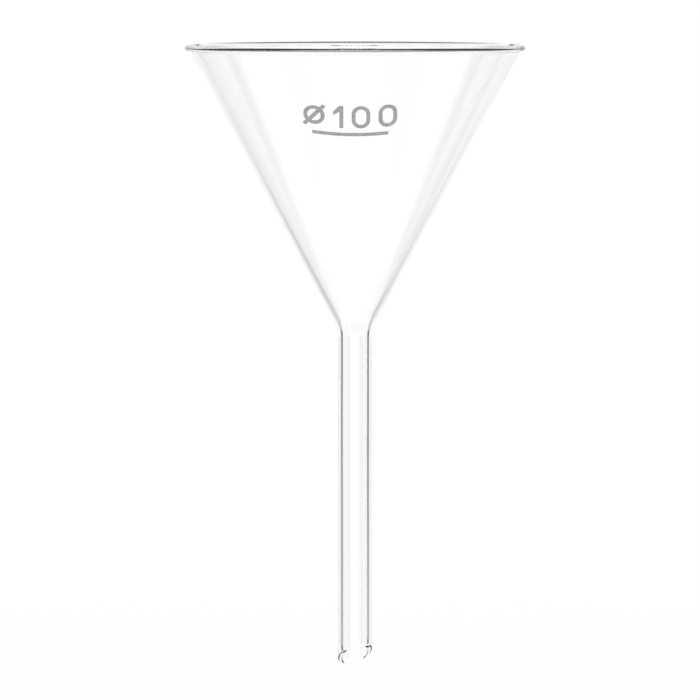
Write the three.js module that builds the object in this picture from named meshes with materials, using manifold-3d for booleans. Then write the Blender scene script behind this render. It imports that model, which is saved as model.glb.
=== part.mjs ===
// Laboratory filter funnel of borosilicate glass: a 56 degree cone with a beaded rim, a long stem sealed
// to it in the flame and ground to a bevel at its tip, and a fired enamel size marking on the cone.
// Millimetres, +Z up. The origin is on the axis, where the outside of the cone would meet the stem.
import * as THREE from 'three';
import { mergeVertices } from 'three/addons/utils/BufferGeometryUtils.js';
import Module from 'manifold-3d';

const wasm = await Module();
wasm.setup();

const radians = THREE.MathUtils.degToRad;

// Bowl
const RIM_DIAMETER = 100;
const CONE_HALF_ANGLE = radians(28);
const CONE_HEIGHT = 82.4;       // from the origin to the middle of the rim bead
const RIM_WALL = 1.15;
const NECK_WALL = 1.75;
const BEAD_RADIUS = 0.68;       // fire-polished bead at the rim
const LIP_RADIUS = 1.25;        // turns the inside of the wall out into the bead
const RIM_LAND = 0.5;           // width of the flat on top of the lip
const UNDERCUT_RADIUS = 1;      // hollow between the bead and the outside of the wall

// Stem
const STEM_DIAMETER = 10;
const STEM_WALL = 1.3;
const STEM_LENGTH = 99;         // from the origin to the lowest point of the tip
const NECK_RADIUS = 12;         // outside blend between cone and stem
const SEAL_DROP = 7;            // the flame seal of bowl and stem, below the origin
const TIP_ANGLE = radians(33);  // bevel, from the horizontal
const TIP_TURN = radians(25.5); // the long side of the tip, from +Y towards -X

// Enamel marking, on the -Y side of the cone: a diameter sign, the numerals 100 and a plain bar
const MARK_DROP = 20.3;         // its middle, below the middle of the rim bead
const MARK_SHIFT = -1.4;        // its middle, along X
const GLYPH_HEIGHT = 7.4;
const STROKE = 1.15;
const SIGN_DIAMETER = 6.2;
const SLASH_LENGTH = 9;
const SLASH_ANGLE = radians(50);
const ONE_WIDTH = 3;
const ONE_FLAG = 2;             // how far the flag of the 1 comes down
const ZERO_WIDTH = 5.4;
const GLYPH_GAP = 2.4;
const BAR_LENGTH = 22;
const BAR_HEIGHT = 1.1;
const BAR_GAP = 1.5;
const MARK_THICKNESS = 0.12;
const MARK_CLEARANCE = 0.03;    // between the enamel and the facets of the cone

// Fineness
const TURN_STEPS = 72;
const ARC_STEPS = 4;
const GLYPH_STEPS = 8;

const stemRadius = STEM_DIAMETER / 2;
const boreRadius = stemRadius - STEM_WALL;
const slope = Math.tan(CONE_HALF_ANGLE);
const coneSide = CONE_HEIGHT / Math.cos(CONE_HALF_ANGLE);
const innerHalfAngle = CONE_HALF_ANGLE + Math.atan((NECK_WALL - RIM_WALL) / coneSide);
const coneAlong = new THREE.Vector2(Math.sin(CONE_HALF_ANGLE), Math.cos(CONE_HALF_ANGLE));
const coneOut = new THREE.Vector2(Math.cos(CONE_HALF_ANGLE), -Math.sin(CONE_HALF_ANGLE));

const glass = new THREE.MeshStandardMaterial({
  color: 0xf4f7f6, roughness: 0.03, metalness: 0, transparent: true, opacity: 0.35,
});
const enamel = new THREE.MeshStandardMaterial({ color: 0xb9b9b9, roughness: 0.6, metalness: 0 });

// Points of an arc, both ends included. Angles are measured from +X of the outline's plane.
function arc(centre, radius, from, to, steps = ARC_STEPS) {
  const points = [];
  for (let i = 0; i <= steps; i++) {
    const angle = from + (to - from) * i / steps;
    points.push(new THREE.Vector2(
      centre.x + radius * Math.cos(angle),
      centre.y + radius * Math.sin(angle),
    ));
  }
  return points;
}

// Turns a closed outline of (radius, height) points about the Z axis.
function turned(outline) {
  const geometry = new THREE.LatheGeometry([...outline, outline[0]], TURN_STEPS);
  return geometry.rotateX(Math.PI / 2);
}

function toSolid(geometry) {
  const bare = geometry.clone();
  bare.deleteAttribute('normal');
  bare.deleteAttribute('uv');
  const merged = mergeVertices(bare, 1e-5);
  return new wasm.Manifold(new wasm.Mesh({
    numProp: 3,
    vertProperties: new Float32Array(merged.attributes.position.array),
    triVerts: new Uint32Array(merged.index.array),
  }));
}

function toGeometry(solid) {
  const { vertProperties, triVerts } = solid.getMesh();
  const geometry = new THREE.BufferGeometry();
  geometry.setAttribute('position', new THREE.BufferAttribute(vertProperties, 3));
  geometry.setIndex(new THREE.BufferAttribute(triVerts, 1));
  const faceted = geometry.toNonIndexed();
  faceted.computeVertexNormals();
  return faceted;
}

function named(name, geometry, material) {
  const mesh = new THREE.Mesh(geometry, material);
  mesh.name = name;
  return mesh;
}

// A point given by how far it lies along a line at this angle from the axis, and how far outside it.
function beside(start, halfAngle, along, out) {
  return new THREE.Vector2(
    start.x + Math.sin(halfAngle) * along + Math.cos(halfAngle) * out,
    start.y + Math.cos(halfAngle) * along - Math.sin(halfAngle) * out,
  );
}

// How far a point lies outside the line through start at this angle from the axis.
function beyond(point, start, halfAngle) {
  return (point.x - start.x) * Math.cos(halfAngle) - (point.y - start.y) * Math.sin(halfAngle);
}

// The blend from a straight wall of this radius up to the line that leaves it at this height.
function neckArc(radius, cornerHeight, blendRadius, halfAngle) {
  const start = cornerHeight - blendRadius * Math.tan(halfAngle / 2);
  const centre = new THREE.Vector2(radius + blendRadius, start);
  return arc(centre, blendRadius, Math.PI, Math.PI - halfAngle);
}

// The rim, from the outside of the wall to the inside: undercut, bead, and lip with its flat land.
function rimOutline(outerStart, innerStart) {
  const bead = new THREE.Vector2(RIM_DIAMETER / 2 - BEAD_RADIUS, CONE_HEIGHT);

  const undercutReach = UNDERCUT_RADIUS + BEAD_RADIUS;
  const undercutAcross = UNDERCUT_RADIUS - beyond(bead, outerStart, CONE_HALF_ANGLE);
  const undercutAlong = Math.sqrt(undercutReach ** 2 - undercutAcross ** 2);
  const undercut = beside(bead, CONE_HALF_ANGLE, -undercutAlong, undercutAcross);

  const lipReach = LIP_RADIUS - BEAD_RADIUS;
  const lipAcross = LIP_RADIUS - beyond(bead, innerStart, innerHalfAngle);
  const lip = beside(bead, innerHalfAngle, -Math.sqrt(lipReach ** 2 - lipAcross ** 2), lipAcross);

  const towardsBead = bead.clone().sub(undercut).angle();
  const lipEnd = bead.clone().sub(lip).angle();
  const landHalfAngle = Math.asin(RIM_LAND / 2 / LIP_RADIUS);
  return [
    ...arc(undercut, UNDERCUT_RADIUS, Math.PI - CONE_HALF_ANGLE, towardsBead),
    ...arc(bead, BEAD_RADIUS, towardsBead - Math.PI, 0).slice(1),
    ...arc(bead, BEAD_RADIUS, 0, lipEnd).slice(1),
    ...arc(lip, LIP_RADIUS, lipEnd, Math.PI / 2 - landHalfAngle).slice(1),
    ...arc(lip, LIP_RADIUS, Math.PI / 2 + landHalfAngle, Math.PI - innerHalfAngle),
  ];
}

// The bowl's wall grows thicker from the rim down to the neck.
function makeBowl() {
  const outerStart = new THREE.Vector2(stemRadius, 0);
  const innerStart = beside(outerStart, CONE_HALF_ANGLE, 0, -NECK_WALL);
  const innerCorner = innerStart.y + (boreRadius - innerStart.x) / Math.tan(innerHalfAngle);
  const outline = [
    new THREE.Vector2(stemRadius, -SEAL_DROP),
    ...neckArc(stemRadius, 0, NECK_RADIUS, CONE_HALF_ANGLE),
    ...rimOutline(outerStart, innerStart),
    ...neckArc(boreRadius, innerCorner, NECK_RADIUS + STEM_WALL, innerHalfAngle).reverse(),
    new THREE.Vector2(boreRadius, -SEAL_DROP),
  ];
  return turned(outline);
}

// The tip's cutting block lies below the bevel plane.
function tipBlock() {
  const size = 6 * STEM_DIAMETER;
  const block = new THREE.BoxGeometry(size, size, size);
  block.translate(0, 0, -size / 2);
  block.rotateX(-TIP_ANGLE);
  block.rotateZ(TIP_TURN);
  block.translate(0, 0, stemRadius * Math.tan(TIP_ANGLE) - STEM_LENGTH);
  return block;
}

function makeStem() {
  const tube = turned([
    new THREE.Vector2(stemRadius, -STEM_LENGTH - STEM_WALL),
    new THREE.Vector2(stemRadius, -SEAL_DROP),
    new THREE.Vector2(boreRadius, -SEAL_DROP),
    new THREE.Vector2(boreRadius, -STEM_LENGTH - STEM_WALL),
  ]);
  return toGeometry(toSolid(tube).subtract(toSolid(tipBlock())));
}

// An upright oval with straight sides and a hole that leaves one stroke all round.
function ovalRing(width, height) {
  const ring = new THREE.Shape(stadium(width, height));
  ring.holes.push(new THREE.Path(stadium(width - 2 * STROKE, height - 2 * STROKE).reverse()));
  return ring;
}

function stadium(width, height) {
  const radius = width / 2;
  const rise = height / 2 - radius;
  return [
    ...arc(new THREE.Vector2(0, rise), radius, 0, Math.PI, GLYPH_STEPS).slice(rise > 0 ? 0 : 1),
    ...arc(new THREE.Vector2(0, -rise), radius, Math.PI, 2 * Math.PI, GLYPH_STEPS).slice(rise > 0 ? 0 : 1),
  ];
}

function bar(length, height) {
  return new THREE.Shape([
    new THREE.Vector2(-length / 2, -height / 2),
    new THREE.Vector2(length / 2, -height / 2),
    new THREE.Vector2(length / 2, height / 2),
    new THREE.Vector2(-length / 2, height / 2),
  ]);
}

function numeralOne() {
  const half = GLYPH_HEIGHT / 2;
  const right = ONE_WIDTH / 2;
  const left = right - STROKE;
  return new THREE.Shape([
    new THREE.Vector2(left, -half),
    new THREE.Vector2(right, -half),
    new THREE.Vector2(right, half),
    new THREE.Vector2(left, half),
    new THREE.Vector2(-right, half - ONE_FLAG),
    new THREE.Vector2(-right, half - ONE_FLAG - STROKE),
    new THREE.Vector2(left, half - ONE_FLAG),
  ]);
}

// A thin conical shell that lies on the facets of the cone, and from which the marking is cut.
function markShell() {
  const reach = GLYPH_HEIGHT + BAR_GAP + BAR_HEIGHT;
  const middle = (CONE_HEIGHT - MARK_DROP) / Math.cos(CONE_HALF_ANGLE);
  const corner = new THREE.Vector2(stemRadius, 0);
  const inside = MARK_CLEARANCE;
  const outside = MARK_CLEARANCE + MARK_THICKNESS;
  return toSolid(turned([
    beside(corner, CONE_HALF_ANGLE, middle - reach, inside),
    beside(corner, CONE_HALF_ANGLE, middle - reach, outside),
    beside(corner, CONE_HALF_ANGLE, middle + reach, outside),
    beside(corner, CONE_HALF_ANGLE, middle + reach, inside),
  ]));
}

// Cuts one glyph, placed (x, y) from the middle of the marking, out of the shell.
function printed(glyph, x, y, shell) {
  const depth = stemRadius;
  glyph.translate(x + MARK_SHIFT, y, -depth);
  const side = new THREE.Vector3(1, 0, 0);
  const up = new THREE.Vector3(0, -coneAlong.x, coneAlong.y);
  const out = new THREE.Vector3(0, -coneOut.x, coneOut.y);
  glyph.applyMatrix4(new THREE.Matrix4().makeBasis(side, up, out));
  const middle = CONE_HEIGHT - MARK_DROP;
  glyph.translate(0, -stemRadius - slope * middle, middle);
  return toGeometry(toSolid(glyph).intersect(shell));
}

function stamped(shape) {
  return new THREE.ExtrudeGeometry(shape, { depth: 2 * stemRadius, bevelEnabled: false });
}

function diameterSign() {
  const ring = toSolid(stamped(ovalRing(SIGN_DIAMETER, SIGN_DIAMETER)));
  const slash = stamped(bar(SLASH_LENGTH, STROKE)).rotateZ(SLASH_ANGLE);
  return toGeometry(ring.add(toSolid(slash)));
}

function makeMarking() {
  const glyphs = [
    ['mark_diameter_sign', diameterSign(), SIGN_DIAMETER],
    ['mark_numeral_one', stamped(numeralOne()), ONE_WIDTH],
    ['mark_numeral_zero_1', stamped(ovalRing(ZERO_WIDTH, GLYPH_HEIGHT)), ZERO_WIDTH],
    ['mark_numeral_zero_2', stamped(ovalRing(ZERO_WIDTH, GLYPH_HEIGHT)), ZERO_WIDTH],
  ];
  const shell = markShell();
  const lineWidth = glyphs.reduce((sum, glyph) => sum + glyph[2], (glyphs.length - 1) * GLYPH_GAP);
  const lineRise = (BAR_GAP + BAR_HEIGHT) / 2;
  const group = new THREE.Group();
  let left = -lineWidth / 2;
  for (const [name, glyph, width] of glyphs) {
    group.add(named(name, printed(glyph, left + width / 2, lineRise, shell), enamel));
    left += width + GLYPH_GAP;
  }
  const barDrop = -(GLYPH_HEIGHT + BAR_GAP) / 2;
  group.add(named('mark_bar', printed(stamped(bar(BAR_LENGTH, BAR_HEIGHT)), 0, barDrop, shell), enamel));
  return group;
}

const funnel = new THREE.Group();
funnel.add(named('bowl', makeBowl(), glass));
funnel.add(named('stem', makeStem(), glass));
funnel.add(makeMarking());

export default funnel;
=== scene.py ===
# Blender scene for a laboratory filter funnel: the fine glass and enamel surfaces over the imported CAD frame.
import math

import bmesh
import bpy
import numpy as np
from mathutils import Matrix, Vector
from mathutils.geometry import delaunay_2d_cdt


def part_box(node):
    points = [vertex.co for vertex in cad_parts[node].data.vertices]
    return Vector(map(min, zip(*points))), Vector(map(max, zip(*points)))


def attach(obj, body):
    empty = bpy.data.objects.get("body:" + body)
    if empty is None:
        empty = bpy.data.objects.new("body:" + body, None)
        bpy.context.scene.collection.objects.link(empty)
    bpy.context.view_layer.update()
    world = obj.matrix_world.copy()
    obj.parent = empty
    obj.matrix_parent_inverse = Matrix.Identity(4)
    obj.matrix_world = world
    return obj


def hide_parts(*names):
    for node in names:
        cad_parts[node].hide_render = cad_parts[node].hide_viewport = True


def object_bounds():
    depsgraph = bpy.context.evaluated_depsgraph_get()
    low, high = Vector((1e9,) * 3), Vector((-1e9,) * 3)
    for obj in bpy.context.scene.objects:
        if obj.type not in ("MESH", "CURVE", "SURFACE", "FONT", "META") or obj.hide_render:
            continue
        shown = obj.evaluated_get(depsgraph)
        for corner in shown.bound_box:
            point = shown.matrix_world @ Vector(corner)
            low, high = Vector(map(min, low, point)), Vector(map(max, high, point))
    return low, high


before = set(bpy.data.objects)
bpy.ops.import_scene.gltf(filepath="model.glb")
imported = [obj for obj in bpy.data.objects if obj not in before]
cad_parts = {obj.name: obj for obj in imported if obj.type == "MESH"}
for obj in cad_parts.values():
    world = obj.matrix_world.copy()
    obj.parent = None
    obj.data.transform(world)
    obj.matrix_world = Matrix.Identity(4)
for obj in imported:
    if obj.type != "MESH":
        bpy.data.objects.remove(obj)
cad_low, cad_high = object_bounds()

MM = 0.001

# Driving dimensions, in metres. The outer sizes come from the frame.
BOWL_LOW, BOWL_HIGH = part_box("bowl")
STEM_LOW, STEM_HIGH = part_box("stem")
RIM_RADIUS = BOWL_HIGH[0]
STEM_RADIUS = STEM_HIGH[0]
SEAL_HEIGHT = BOWL_LOW[2]
TIP_HEIGHT = STEM_LOW[2]
CONE_HALF_ANGLE = math.radians(28)
CONE_HEIGHT = 82.4 * MM
RIM_WALL = 1.15 * MM
NECK_WALL = 1.75 * MM
BEAD_RADIUS = 0.68 * MM
LIP_RADIUS = 1.25 * MM
UNDERCUT_RADIUS = 1 * MM
STEM_WALL = 1.3 * MM
NECK_RADIUS = 12 * MM
TIP_ANGLE = math.radians(33)
TIP_TURN = math.radians(25.5)
TIP_ROUND = 0.4 * MM            # fire-polished edges of the ground tip
SEAL_GAP = 0.005 * MM           # keeps the two faces of the flame seal apart, so that light meets both

BORE_RADIUS = STEM_RADIUS - STEM_WALL
SLOPE = math.tan(CONE_HALF_ANGLE)
CONE_SIDE = CONE_HEIGHT / math.cos(CONE_HALF_ANGLE)
CONE_ALONG = np.array([math.sin(CONE_HALF_ANGLE), math.cos(CONE_HALF_ANGLE)])
CONE_OUT = np.array([math.cos(CONE_HALF_ANGLE), -math.sin(CONE_HALF_ANGLE)])
INNER_HALF_ANGLE = CONE_HALF_ANGLE + math.atan((NECK_WALL - RIM_WALL) / CONE_SIDE)

# The small unevenness of blown and drawn glass. Each wave is (times round the axis, length along it, phase).
INNER_WAVE = 0.035 * MM
OUTER_WAVE = INNER_WAVE / 3
STEM_WAVE = 0.02 * MM
WAVE_START = NECK_RADIUS / 2    # above the origin, where the cone's unevenness sets in
WAVE_RISE = NECK_RADIUS
WALL_SEEDS = ((2, 31 * MM, 0.4), (3, -23 * MM, 2.1), (5, 17 * MM, 4.0), (1, 11 * MM, 1.3))
STEM_SEEDS = ((2, 27 * MM, 1.1), (1, 13 * MM, 0.2), (3, -19 * MM, 3.0))

# Enamel marking
MARK_DROP = 20.3 * MM           # from the middle of the rim bead down to the middle of the marking
MARK_SHIFT = -1.4 * MM          # along X
GLYPH_HEIGHT = 7.4 * MM
STROKE = 1.15 * MM
SIGN_DIAMETER = 6.2 * MM
SLASH_LENGTH = 9 * MM
SLASH_ANGLE = math.radians(50)
ONE_WIDTH = 3 * MM
ONE_FLAG = 2 * MM
ZERO_WIDTH = 5.4 * MM
GLYPH_GAP = 2.4 * MM
BAR_LENGTH = 22 * MM
BAR_HEIGHT = 1.1 * MM
BAR_GAP = 1.5 * MM
ENAMEL_GAP = 0.02 * MM          # keeps the enamel clear of the glass's unevenness
ENAMEL_CROWN = 0.07 * MM        # both from the true cone
ENAMEL_EDGE = 0.05 * MM

# Fineness
TURN_STEPS = 288
ARC_STEPS = 12
BLEND_STEPS = 2 * ARC_STEPS     # the neck's blends and the lip
BEAD_STEPS = 40
RING_SPACING = 2 * MM
STEM_RINGS = 40
ROUND_STEPS = 24                # half a turn of a glyph's round end
OUTLINE_STEP = 0.2 * MM
FILL_STEP = 0.4 * MM
FILL_MARGIN = FILL_STEP / 3     # between a glyph's outline and the points inside it
SAME_SPOT = 0.000001 * MM       # points closer than this are one point


def arc(centre, radius, start, end, steps=ARC_STEPS):
    """Points of an arc in the (radius, height) plane, both ends included."""
    angles = np.linspace(start, end, steps + 1)
    return [centre + radius * np.array([math.cos(a), math.sin(a)]) for a in angles]


def between(start, end, spacing=RING_SPACING):
    """Points on a straight line, both ends left out."""
    count = max(int(np.linalg.norm(end - start) / spacing), 1)
    return [start + (end - start) * i / count for i in range(1, count)]


def beside(start, half_angle, along, out):
    """A point given by how far it lies along a line at half_angle from the axis, and how far outside it."""
    side = np.array([math.sin(half_angle), math.cos(half_angle)])
    across = np.array([math.cos(half_angle), -math.sin(half_angle)])
    return start + side * along + across * out


def beyond(point, start, half_angle):
    """How far a point lies outside the line through start at half_angle from the axis."""
    return float((point - start) @ np.array([math.cos(half_angle), -math.sin(half_angle)]))


def neck_arc(radius, corner_height, blend_radius, half_angle):
    """The blend from a straight wall up to the line that leaves it at corner_height."""
    centre = np.array([radius + blend_radius, corner_height - blend_radius * math.tan(half_angle / 2)])
    return arc(centre, blend_radius, math.pi, math.pi - half_angle, BLEND_STEPS)


def direction(start, end):
    """The angle of the line from start to end, in the (radius, height) plane."""
    step = end - start
    return math.atan2(step[1], step[0])


def rim_outline(outer_start, inner_start):
    """Undercut, bead and lip, from the outside of the wall over the rim to the inside."""
    bead = np.array([RIM_RADIUS - BEAD_RADIUS, CONE_HEIGHT])

    undercut_reach = UNDERCUT_RADIUS + BEAD_RADIUS
    undercut_across = UNDERCUT_RADIUS - beyond(bead, outer_start, CONE_HALF_ANGLE)
    undercut_along = math.sqrt(undercut_reach**2 - undercut_across**2)
    undercut = beside(bead, CONE_HALF_ANGLE, -undercut_along, undercut_across)

    lip_reach = LIP_RADIUS - BEAD_RADIUS
    lip_across = LIP_RADIUS - beyond(bead, inner_start, INNER_HALF_ANGLE)
    lip = beside(bead, INNER_HALF_ANGLE, -math.sqrt(lip_reach**2 - lip_across**2), lip_across)

    towards_bead = direction(undercut, bead)
    lip_end = direction(lip, bead)
    return [
        *arc(undercut, UNDERCUT_RADIUS, math.pi - CONE_HALF_ANGLE, towards_bead),
        *arc(bead, BEAD_RADIUS, towards_bead - math.pi, lip_end, BEAD_STEPS)[1:],
        *arc(lip, LIP_RADIUS, lip_end, math.pi - INNER_HALF_ANGLE, BLEND_STEPS)[1:],
    ]


def bowl_outline():
    """The wall grows thicker from the rim down to the neck."""
    outer_start = np.array([STEM_RADIUS, 0])
    inner_start = beside(outer_start, CONE_HALF_ANGLE, 0, -NECK_WALL)
    inner_corner = inner_start[1] + (BORE_RADIUS - inner_start[0]) / math.tan(INNER_HALF_ANGLE)
    outer_neck = neck_arc(STEM_RADIUS, 0, NECK_RADIUS, CONE_HALF_ANGLE)
    inner_neck = neck_arc(BORE_RADIUS, inner_corner, NECK_RADIUS + STEM_WALL, INNER_HALF_ANGLE)[::-1]
    rim = rim_outline(outer_start, inner_start)
    return [
        np.array([STEM_RADIUS, SEAL_HEIGHT]),
        *outer_neck,
        *between(outer_neck[-1], rim[0]),
        *rim,
        *between(rim[-1], inner_neck[0]),
        *inner_neck,
        np.array([BORE_RADIUS, SEAL_HEIGHT]),
    ]


def revolve(name, outline, seam_start, place):
    """A closed body of revolution. seam_start is the outline point that the flat seal face starts from."""
    rings = len(outline)
    angles = np.arange(TURN_STEPS) * 2 * math.pi / TURN_STEPS
    points = [place(r, z, a) for r, z in outline for a in angles]
    faces = []
    for i in range(rings):
        here, above = i * TURN_STEPS, (i + 1) % rings * TURN_STEPS
        for j in range(TURN_STEPS):
            k = (j + 1) % TURN_STEPS
            faces.append((here + j, here + k, above + k, above + j))
    mesh = bpy.data.meshes.new(name)
    mesh.from_pydata(points, [], faces)
    seam = range(seam_start * TURN_STEPS, (seam_start + 1) * TURN_STEPS)
    for polygon in mesh.polygons:
        polygon.use_smooth = True
    mesh.update()
    piece = bpy.data.objects.new(name, mesh)
    bpy.context.collection.objects.link(piece)
    mark_seam(mesh, seam)
    return piece


def mark_seam(mesh, seam):
    """Gives the seal face its own material slot and sharp edges, so that the walls meet without a line."""
    work = bmesh.new()
    work.from_mesh(mesh)
    work.faces.ensure_lookup_table()
    for index in seam:
        face = work.faces[index]
        face.material_index = 1
        for edge in face.edges:
            if any(other.index not in seam for other in edge.link_faces):
                edge.smooth = False
    work.to_mesh(mesh)
    work.free()


def wave(angle, height, seeds):
    """A slow, seamless unevenness round the axis, between about -1 and 1."""
    total = 0
    for turns, length, phase in seeds:
        total += math.sin(turns * angle + height / length + phase)
    return total / len(seeds)


def on_bowl(radius, height, angle):
    """The cone is a little uneven, most of all inside. The stub below the neck is true, to meet the stem."""
    fade = min(max((height - WAVE_START) / WAVE_RISE, 0), 1)
    outside = STEM_RADIUS + SLOPE * height
    inward = min(max((outside - radius) / RIM_WALL, 0), 1)
    radius += INNER_WAVE * fade * inward * wave(angle, height, WALL_SEEDS)
    radius += OUTER_WAVE * fade * (1 - inward) * wave(angle, -height, STEM_SEEDS)
    return (radius * math.cos(angle), radius * math.sin(angle), height)


def bevel_height(x, y):
    """The plane of the ground tip."""
    middle = TIP_HEIGHT + STEM_RADIUS * math.tan(TIP_ANGLE)
    reach = -x * math.sin(TIP_TURN) + y * math.cos(TIP_TURN)
    return middle - reach * math.tan(TIP_ANGLE)


def make_stem():
    """Each outline point is a radius and a spot: a height and whether it counts up from the bevel plane."""
    corner = TIP_ROUND
    outer_round = arc(np.array([STEM_RADIUS - corner, corner]), corner, -math.pi / 2, 0)
    inner_round = arc(np.array([BORE_RADIUS + corner, corner]), corner, -math.pi, -math.pi / 2)
    shares = np.linspace(0, 1, STEM_RINGS)[1:]
    outline = [(radius, (height, True)) for radius, height in outer_round]
    outline += [(STEM_RADIUS, (share, False)) for share in shares]
    seal_start = len(outline) - 1
    outline += [(BORE_RADIUS, (share, False)) for share in shares[::-1]]
    outline += [(radius, (height, True)) for radius, height in inner_round]
    return revolve("stem_glass", outline, seal_start, on_stem)


def on_stem(radius, spot, angle):
    """Walls are given as a share of the way from the tip's rounded edge up to the seal."""
    level, near_tip = spot
    x, y = radius * math.cos(angle), radius * math.sin(angle)
    foot = bevel_height(x, y)
    if near_tip:
        return (x, y, foot + level)
    low = foot + TIP_ROUND
    height = low + (SEAL_HEIGHT - SEAL_GAP - low) * level
    if radius < STEM_RADIUS - STEM_WALL / 2:
        radius += STEM_WAVE * math.sin(math.pi * level) * wave(angle, height, STEM_SEEDS)
    return (radius * math.cos(angle), radius * math.sin(angle), height)


# ---- marking ----------------------------------------------------------------------------------------------


def stadium(width, height):
    """An upright outline with round ends."""
    radius = width / 2
    rise = height / 2 - radius
    top = arc(np.array([0, rise]), radius, 0, math.pi, ROUND_STEPS)
    bottom = arc(np.array([0, -rise]), radius, math.pi, 2 * math.pi, ROUND_STEPS)
    return top + bottom


def oval_ring(width, height):
    """The outer and the inner outline of a ring one stroke wide."""
    return [stadium(width, height), stadium(width - 2 * STROKE, height - 2 * STROKE)[::-1]]


def rectangle(length, height, turn=0):
    """The outline of a rectangle round the origin, turned anticlockwise."""
    c, s = math.cos(turn), math.sin(turn)
    corners = [(-1, -1), (1, -1), (1, 1), (-1, 1)]
    spots = [(x * length / 2, y * height / 2) for x, y in corners]
    return [np.array([c * x - s * y, s * x + c * y]) for x, y in spots]


def numeral_one():
    """An upright stroke with a short flag at its top left."""
    half = GLYPH_HEIGHT / 2
    right = ONE_WIDTH / 2
    left = right - STROKE
    return [np.array(p) for p in (
        (left, -half),
        (right, -half),
        (right, half),
        (left, half),
        (-right, half - ONE_FLAG),
        (-right, half - ONE_FLAG - STROKE),
        (left, half - ONE_FLAG),
    )]


def resampled(loop):
    """The same loop with closely spaced points."""
    points = []
    for i, start in enumerate(loop):
        end = loop[(i + 1) % len(loop)]
        length = np.linalg.norm(end - start)
        if length < SAME_SPOT:
            continue
        count = max(int(length / OUTLINE_STEP), 1)
        points += [start + (end - start) * k / count for k in range(count)]
    return points


def inside(point, loop):
    """Even-odd test of a point against one loop."""
    crossings = 0
    for i, a in enumerate(loop):
        b = loop[(i + 1) % len(loop)]
        if (a[1] > point[1]) != (b[1] > point[1]):
            if point[0] < a[0] + (point[1] - a[1]) / (b[1] - a[1]) * (b[0] - a[0]):
                crossings += 1
    return crossings % 2 == 1


def fill(loops, covers):
    """Points, triangles and rim flags over a flat shape. covers says whether a point is in it."""
    outline = [resampled(loop) for loop in loops]
    points = [p for loop in outline for p in loop]
    edges, first = [], 0
    for loop in outline:
        edges += [(first + i, first + (i + 1) % len(loop)) for i in range(len(loop))]
        first += len(loop)
    low, high = np.min(points, axis=0), np.max(points, axis=0)
    border = np.array(points)
    for x in np.arange(low[0], high[0], FILL_STEP):
        for y in np.arange(low[1], high[1], FILL_STEP):
            spot = np.array([x, y])
            if covers(spot) and np.linalg.norm(border - spot, axis=1).min() > FILL_MARGIN:
                points.append(spot)
    scale = 1 / MM
    flat = [Vector(p * scale) for p in points]
    spots, _, triangles, origins, *_ = delaunay_2d_cdt(flat, edges, [], 0, SAME_SPOT * scale)
    spots = [np.array(s) / scale for s in spots]
    kept = [t for t in triangles if covers(sum(spots[i] for i in t) / 3)]
    rim = [any(o < len(border) for o in origin) or not origin for origin in origins]
    return spots, kept, rim


def on_cone(u, v):
    """The point of the cone, and its outward normal, under a flat spot (u, v) of the marking."""
    middle_height = CONE_HEIGHT - MARK_DROP
    middle = Vector((MARK_SHIFT, -STEM_RADIUS - SLOPE * middle_height, middle_height))
    up = Vector((0, -CONE_ALONG[0], CONE_ALONG[1]))
    out = Vector((0, -CONE_OUT[0], CONE_OUT[1]))
    start = middle + Vector((u, 0, 0)) + up * v
    reach = STEM_RADIUS + SLOPE * start.z
    a = out.x**2 + out.y**2 - (SLOPE * out.z) ** 2
    b = 2 * (start.x * out.x + start.y * out.y - SLOPE * out.z * reach)
    c = start.x**2 + start.y**2 - reach**2
    root = math.sqrt(b * b - 4 * a * c)
    steps = ((-b - root) / (2 * a), (-b + root) / (2 * a))
    spot = start + out * min(steps, key=abs)
    around = math.atan2(spot.y, spot.x)
    normal = Vector((CONE_OUT[0] * math.cos(around), CONE_OUT[0] * math.sin(around), CONE_OUT[1]))
    return spot, normal


def printed(name, loops, covers, x, y):
    """One closed enamel patch: crowned on top, thin at its edge and lifted just clear of the glass."""
    spots, triangles, rim = fill(loops, covers)
    lower, upper = [], []
    for spot, at_rim in zip(spots, rim):
        point, normal = on_cone(spot[0] + x, spot[1] + y)
        lower.append(point + normal * ENAMEL_GAP)
        upper.append(point + normal * (ENAMEL_EDGE if at_rim else ENAMEL_CROWN))
    count = len(spots)
    mesh = bpy.data.meshes.new(name)
    work = bmesh.new()
    verts = [work.verts.new(p) for p in lower + upper]
    sides = {}
    for a, b, c in triangles:
        work.faces.new((verts[count + a], verts[count + b], verts[count + c]))
        work.faces.new((verts[c], verts[b], verts[a]))
        for start, end in ((a, b), (b, c), (c, a)):
            sides[start, end] = True
    for start, end in sides:
        if (end, start) not in sides:
            work.faces.new((verts[start], verts[end], verts[count + end], verts[count + start]))
    loose = [v for v in work.verts if not v.link_faces]
    bmesh.ops.delete(work, geom=loose, context="VERTS")
    for face in work.faces:
        face.smooth = True
    work.to_mesh(mesh)
    work.free()
    piece = bpy.data.objects.new(name, mesh)
    bpy.context.collection.objects.link(piece)
    return piece


# Each cover says whether a flat spot is inside a shape.


def union_of(*covers):
    return lambda spot: any(cover(spot) for cover in covers)


def ring_cover(loops):
    return lambda spot: inside(spot, loops[0]) and not inside(spot, loops[1])


def loop_cover(loop):
    return lambda spot: inside(spot, loop)


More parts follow.
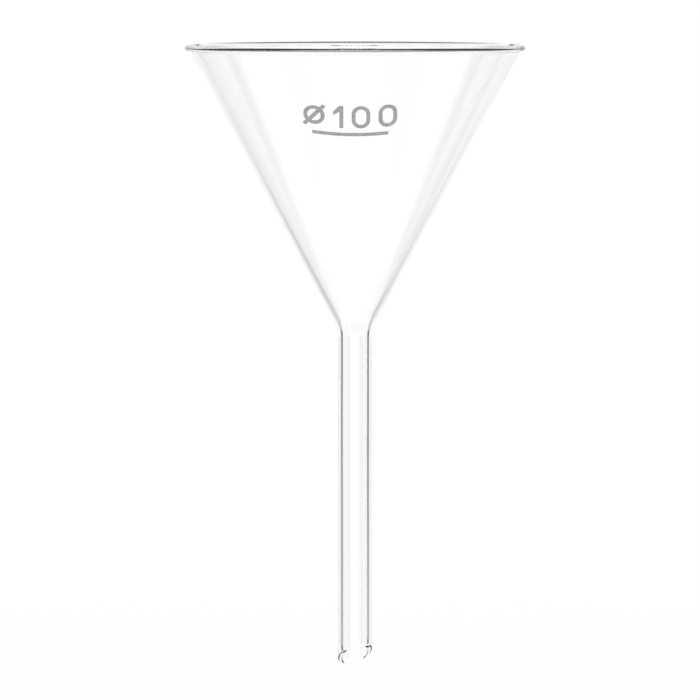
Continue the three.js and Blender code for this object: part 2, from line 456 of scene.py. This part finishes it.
def make_marking():
    """A diameter sign, the numerals 1, 0 and 0, and a bar under them. Gives the pieces by node name."""
    sign_ring = oval_ring(SIGN_DIAMETER, SIGN_DIAMETER)
    slash = rectangle(SLASH_LENGTH, STROKE, SLASH_ANGLE)
    zero = oval_ring(ZERO_WIDTH, GLYPH_HEIGHT)
    one = numeral_one()
    bar = rectangle(BAR_LENGTH, BAR_HEIGHT)
    sign_cover = union_of(ring_cover(sign_ring), loop_cover(slash))
    line = [
        ("mark_diameter_sign", [*sign_ring, slash], sign_cover, SIGN_DIAMETER),
        ("mark_numeral_one", [one], loop_cover(one), ONE_WIDTH),
        ("mark_numeral_zero_1", zero, ring_cover(zero), ZERO_WIDTH),
        ("mark_numeral_zero_2", zero, ring_cover(zero), ZERO_WIDTH),
    ]
    width = sum(glyph[3] for glyph in line) + GLYPH_GAP * (len(line) - 1)
    rise = (BAR_GAP + BAR_HEIGHT) / 2
    left = -width / 2
    pieces = {}
    for node, loops, covers, glyph_width in line:
        pieces[node] = printed(node + "_enamel", loops, covers, left + glyph_width / 2, rise)
        left += glyph_width + GLYPH_GAP
    drop = -(GLYPH_HEIGHT + BAR_GAP) / 2
    pieces["mark_bar"] = printed("mark_bar_enamel", [bar], loop_cover(bar), 0, drop)
    return pieces


# ---- materials --------------------------------------------------------------------------------------------

GLASS_IOR = 1.473               # borosilicate 3.3
STRIAE_SCALE = 140
STRIAE_DETAIL = 1
STRIAE_STRETCH = 0.25           # the striae are drawn out along the axis
STRIAE_STRENGTH = 0.15
STRIAE_DEPTH = 0.02 * MM
ENAMEL_ROUGHNESS = 0.55
MOTTLE_SCALE = 900
MOTTLE_DETAIL = 4
MOTTLE_TONES = ((0.3, 0.42), (0.7, 0.56))
GRAIN_STRENGTH = 0.4
GRAIN_DEPTH = 0.03 * MM


def new_material(name):
    """An empty node material: gives it with its tree and its output node."""
    material = bpy.data.materials.new(name)
    material.use_nodes = True
    tree = material.node_tree
    tree.nodes.clear()
    output = tree.nodes.new("ShaderNodeOutputMaterial")
    return material, tree, output


def grey(tone):
    return (tone, tone, tone, 1)


def noise(tree, scale, detail, stretch=(1, 1, 1)):
    """A noise texture fixed to the object. A stretch below 1 draws it out along that axis."""
    place = tree.nodes.new("ShaderNodeTexCoord")
    mapping = tree.nodes.new("ShaderNodeMapping")
    mapping.inputs["Scale"].default_value = stretch
    texture = tree.nodes.new("ShaderNodeTexNoise")
    texture.inputs["Scale"].default_value = scale
    texture.inputs["Detail"].default_value = detail
    tree.links.new(place.outputs["Object"], mapping.inputs["Vector"])
    tree.links.new(mapping.outputs["Vector"], texture.inputs["Vector"])
    return texture.outputs["Fac"]


def add_bump(tree, height, strength, depth, shader):
    bump = tree.nodes.new("ShaderNodeBump")
    bump.inputs["Strength"].default_value = strength
    bump.inputs["Distance"].default_value = depth
    tree.links.new(height, bump.inputs["Height"])
    tree.links.new(bump.outputs["Normal"], shader.inputs["Normal"])


def glass_material():
    material, tree, output = new_material("borosilicate_glass")
    shader = tree.nodes.new("ShaderNodeBsdfPrincipled")
    shader.inputs["Base Color"].default_value = grey(1)
    shader.inputs["Roughness"].default_value = 0
    shader.inputs["IOR"].default_value = GLASS_IOR
    shader.inputs["Transmission Weight"].default_value = 1
    striae = noise(tree, STRIAE_SCALE, STRIAE_DETAIL, (1, 1, STRIAE_STRETCH))
    add_bump(tree, striae, STRIAE_STRENGTH, STRIAE_DEPTH, shader)
    tree.links.new(shader.outputs["BSDF"], output.inputs["Surface"])
    return material


def seal_material():
    """The flame seal can't be seen: light passes it as it passes the glass on either side."""
    material, tree, output = new_material("flame_seal")
    clear = tree.nodes.new("ShaderNodeBsdfTransparent")
    tree.links.new(clear.outputs["BSDF"], output.inputs["Surface"])
    return material


def enamel_material():
    material, tree, output = new_material("fired_enamel")
    shader = tree.nodes.new("ShaderNodeBsdfPrincipled")
    shader.inputs["Roughness"].default_value = ENAMEL_ROUGHNESS
    mottle = noise(tree, MOTTLE_SCALE, MOTTLE_DETAIL)
    tone = tree.nodes.new("ShaderNodeValToRGB")
    for element, (place, shade) in zip(tone.color_ramp.elements, MOTTLE_TONES):
        element.position = place
        element.color = grey(shade)
    tree.links.new(mottle, tone.inputs["Fac"])
    tree.links.new(tone.outputs["Color"], shader.inputs["Base Color"])
    add_bump(tree, mottle, GRAIN_STRENGTH, GRAIN_DEPTH, shader)
    tree.links.new(shader.outputs["BSDF"], output.inputs["Surface"])
    return material


# ---- stage ------------------------------------------------------------------------------------------------

BRIGHT = 1.0
RIGHT_ANGLE = 90                # degrees
HALF_TURN = 180
FLOOR_DROP = 350 * MM
FLOOR_RADIUS = 2.5
FLOOR_STEPS = 128
CAMERA_DISTANCE = 3.0
CAMERA_HEIGHT = 147.1 * MM
CAMERA_SIDE = -1.47 * MM
AIM_HEIGHT = -6.2 * MM
LENS = 526
SENSOR = 36                     # both in millimetres
CAMERA_RANGE = 100
GUIDED_BOUNCES = 68             # light caught in a wall for longer is dropped: fitted, it darkens rim and tip
CLEAR_BOUNCES = 32              # the most faces of the flame seal that one ray passes

# Tones of the studio walls by degrees away from the Y axis: bright walls at the four sides, dark corners
WALL_TONES = ((0, 1), (26, 1), (32, 0.94), (39, 0.75), (45, 0.38), (51, 0.04), (70, 0.04), (80, 1))
# and by degrees up from straight below: a little darker towards the ground
HORIZON_TONES = ((78, 0.9), (81, 0.94), (84, 0.965), (86, 1))
# Light from above: how much of it shows, by degrees up from straight below
ABOVE_SHARE = ((95, 0), (106, 1))
# The glowing floor is painted with the walls' light and shade outside a painted pool of light under the
# funnel. Reaches are in metres.
POOL_EDGE = ((0.55, 0), (0.8, 1))
# A dark ring of painted shade round the pool, all but gone where the floor ends, and only near the Y axis
RING_REACH = ((0.38, 0), (0.5, 1), (1.15, 1), (1.6, 0.3), (2.0, 0.15))
RING_TONE = 0.2
RING_SPREAD = ((26, 1), (36, 0))
# A pale aisle through both, by degrees away from the Y axis: wide where X and Y differ in sign, else narrow.
# The wide one is what lies behind the funnel as seen from azimuths 45 and 225.
# On the glowing floor the pale aisle is painted light.
WIDE_AISLE = ((24, 0), (30, 1), (60, 1), (66, 0))
NARROW_AISLE = ((43, 0), (49, 1), (60, 1), (66, 0))
AISLE_REACH = ((0.35, 0), (0.55, 1))
AISLE_TONE = 0.62
# The aisle runs on past the floor's edge and ends short of the horizon, by degrees up from straight below
AISLE_END = ((84, 1), (87, 0))


def ramp(tree, value, stops, full):
    """A smooth grey ramp over 0 to full."""
    node = tree.nodes.new("ShaderNodeValToRGB")
    elements = node.color_ramp.elements
    node.color_ramp.interpolation = "EASE"
    elements.remove(elements[-1])
    elements[0].position = stops[0][0] / full
    elements[0].color = grey(stops[0][1])
    for place, tone in stops[1:]:
        elements.new(place / full).color = grey(tone)
    tree.links.new(calculate(tree, "DIVIDE", value, full), node.inputs["Fac"])
    return node.outputs["Color"]


def calculate(tree, operation, *values):
    """One maths node. Each value is a number or another node's output."""
    node = tree.nodes.new("ShaderNodeMath")
    node.operation = operation
    for socket, value in zip(node.inputs, values):
        if isinstance(value, (int, float)):
            socket.default_value = value
        else:
            tree.links.new(value, socket)
    return node.outputs[0]


def blended(tree, share, start, end):
    """start where share is 0 and end where it is 1."""
    change = calculate(tree, "SUBTRACT", end, start)
    return calculate(tree, "MULTIPLY_ADD", change, share, start)


def split_axes(tree, output):
    place = tree.nodes.new("ShaderNodeTexCoord")
    split = tree.nodes.new("ShaderNodeSeparateXYZ")
    tree.links.new(place.outputs[output], split.inputs[0])
    return split.outputs["X"], split.outputs["Y"], split.outputs["Z"]


def degrees_from_y(tree, x, y):
    """How far the direction (x, y) lies from the nearer end of the Y axis, from 0 to 90."""
    across = calculate(tree, "ABSOLUTE", x)
    along = calculate(tree, "ABSOLUTE", y)
    return calculate(tree, "DEGREES", calculate(tree, "ARCTAN2", across, along))


def aisle_spread(tree, x, y):
    """How much of the pale aisle shows round the Z axis."""
    degrees = degrees_from_y(tree, x, y)
    differ = calculate(tree, "LESS_THAN", calculate(tree, "MULTIPLY", x, y), 0)
    narrow = ramp(tree, degrees, NARROW_AISLE, RIGHT_ANGLE)
    wide = ramp(tree, degrees, WIDE_AISLE, RIGHT_ANGLE)
    return blended(tree, differ, narrow, wide)


def make_world():
    """Bright above and at the four sides. The dark corners are what the edges of the glass show."""
    world = bpy.data.worlds.new("studio")
    bpy.context.scene.world = world
    world.use_nodes = True
    tree = world.node_tree
    tree.nodes.clear()
    output = tree.nodes.new("ShaderNodeOutputWorld")
    background = tree.nodes.new("ShaderNodeBackground")
    x, y, z = split_axes(tree, "Generated")
    walls = ramp(tree, degrees_from_y(tree, x, y), WALL_TONES, RIGHT_ANGLE)
    rise = calculate(tree, "ADD", calculate(tree, "DEGREES", calculate(tree, "ARCSINE", z)), RIGHT_ANGLE)
    around = calculate(tree, "MULTIPLY", walls, ramp(tree, rise, HORIZON_TONES, HALF_TURN))
    tone = blended(tree, ramp(tree, rise, ABOVE_SHARE, HALF_TURN), around, 1)
    aisle = calculate(tree, "MULTIPLY", ramp(tree, rise, AISLE_END, HALF_TURN), aisle_spread(tree, x, y))
    tone = blended(tree, aisle, tone, AISLE_TONE)
    tree.links.new(tone, background.inputs["Color"])
    background.inputs["Strength"].default_value = BRIGHT
    tree.links.new(background.outputs["Background"], output.inputs["Surface"])


def make_floor():
    """A flat disc that glows though it is no lamp, painted with light: a painted pool of light, a painted dark
    ring of shade and painted pale aisles. It glows, so it takes no shadow.
    """
    bpy.ops.mesh.primitive_circle_add(
        vertices=FLOOR_STEPS,
        radius=FLOOR_RADIUS,
        fill_type="NGON",
        location=(0, 0, cad_low[2] - FLOOR_DROP),
    )
    floor = bpy.context.object
    floor.name = "floor"
    material, tree, output = new_material("painted_light_floor")
    glow = tree.nodes.new("ShaderNodeEmission")
    x, y, _ = split_axes(tree, "Object")
    degrees = degrees_from_y(tree, x, y)
    squares = calculate(tree, "ADD", calculate(tree, "MULTIPLY", x, x), calculate(tree, "MULTIPLY", y, y))
    reach = calculate(tree, "SQRT", squares)
    # Painted light: the walls' tones beyond a bright painted pool under the funnel
    walls = ramp(tree, degrees, WALL_TONES, RIGHT_ANGLE)
    tone = blended(tree, ramp(tree, reach, POOL_EDGE, FLOOR_RADIUS), 1, walls)
    # Painted shade: the dark ring round the pool
    ring_round = ramp(tree, degrees, RING_SPREAD, RIGHT_ANGLE)
    ring = calculate(tree, "MULTIPLY", ramp(tree, reach, RING_REACH, FLOOR_RADIUS), ring_round)
    tone = calculate(tree, "MULTIPLY", tone, blended(tree, ring, 1, RING_TONE))
    # Painted light: the pale aisles
    aisle_along = ramp(tree, reach, AISLE_REACH, FLOOR_RADIUS)
    aisle = calculate(tree, "MULTIPLY", aisle_along, aisle_spread(tree, x, y))
    tone = blended(tree, aisle, tone, AISLE_TONE)
    # The floor's tone is painted light: it sets how brightly the disc glows.
    tree.links.new(tone, glow.inputs["Color"])
    glow.inputs["Strength"].default_value = BRIGHT
    tree.links.new(glow.outputs["Emission"], output.inputs["Surface"])
    floor.data.materials.append(material)


def make_camera():
    """A little above the rim and looking slightly down, from far away on the -Y side."""
    data = bpy.data.cameras.new("camera")
    data.lens = LENS
    data.sensor_width = SENSOR
    data.clip_end = CAMERA_RANGE
    camera = bpy.data.objects.new("camera", data)
    camera.location = (CAMERA_SIDE, -CAMERA_DISTANCE, CAMERA_HEIGHT)
    aim = Vector((CAMERA_SIDE, 0, AIM_HEIGHT)) - camera.location
    camera.rotation_euler = aim.to_track_quat("-Z", "Y").to_euler()
    bpy.context.collection.objects.link(camera)
    bpy.context.scene.camera = camera


# ---- build ------------------------------------------------------------------------------------------------

glass = glass_material()
seal = seal_material()
enamel = enamel_material()

bowl_points = bowl_outline()
bowl = revolve("bowl_glass", bowl_points, len(bowl_points) - 1, on_bowl)
stem = make_stem()
for piece, node in ((bowl, "bowl"), (stem, "stem")):
    piece.data.materials.append(glass)
    piece.data.materials.append(seal)
    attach(piece, "root")
    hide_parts(node)

for node, piece in make_marking().items():
    piece.data.materials.append(enamel)
    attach(piece, "root")
    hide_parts(node)

make_world()
make_floor()
make_camera()

scene = bpy.context.scene
scene.view_settings.view_transform = "Standard"
scene.cycles.max_bounces = GUIDED_BOUNCES
scene.cycles.transmission_bounces = GUIDED_BOUNCES
scene.cycles.glossy_bounces = GUIDED_BOUNCES
scene.cycles.transparent_max_bounces = CLEAR_BOUNCES
scene.cycles.blur_glossy = 0    # keeps the lines in the glass sharp
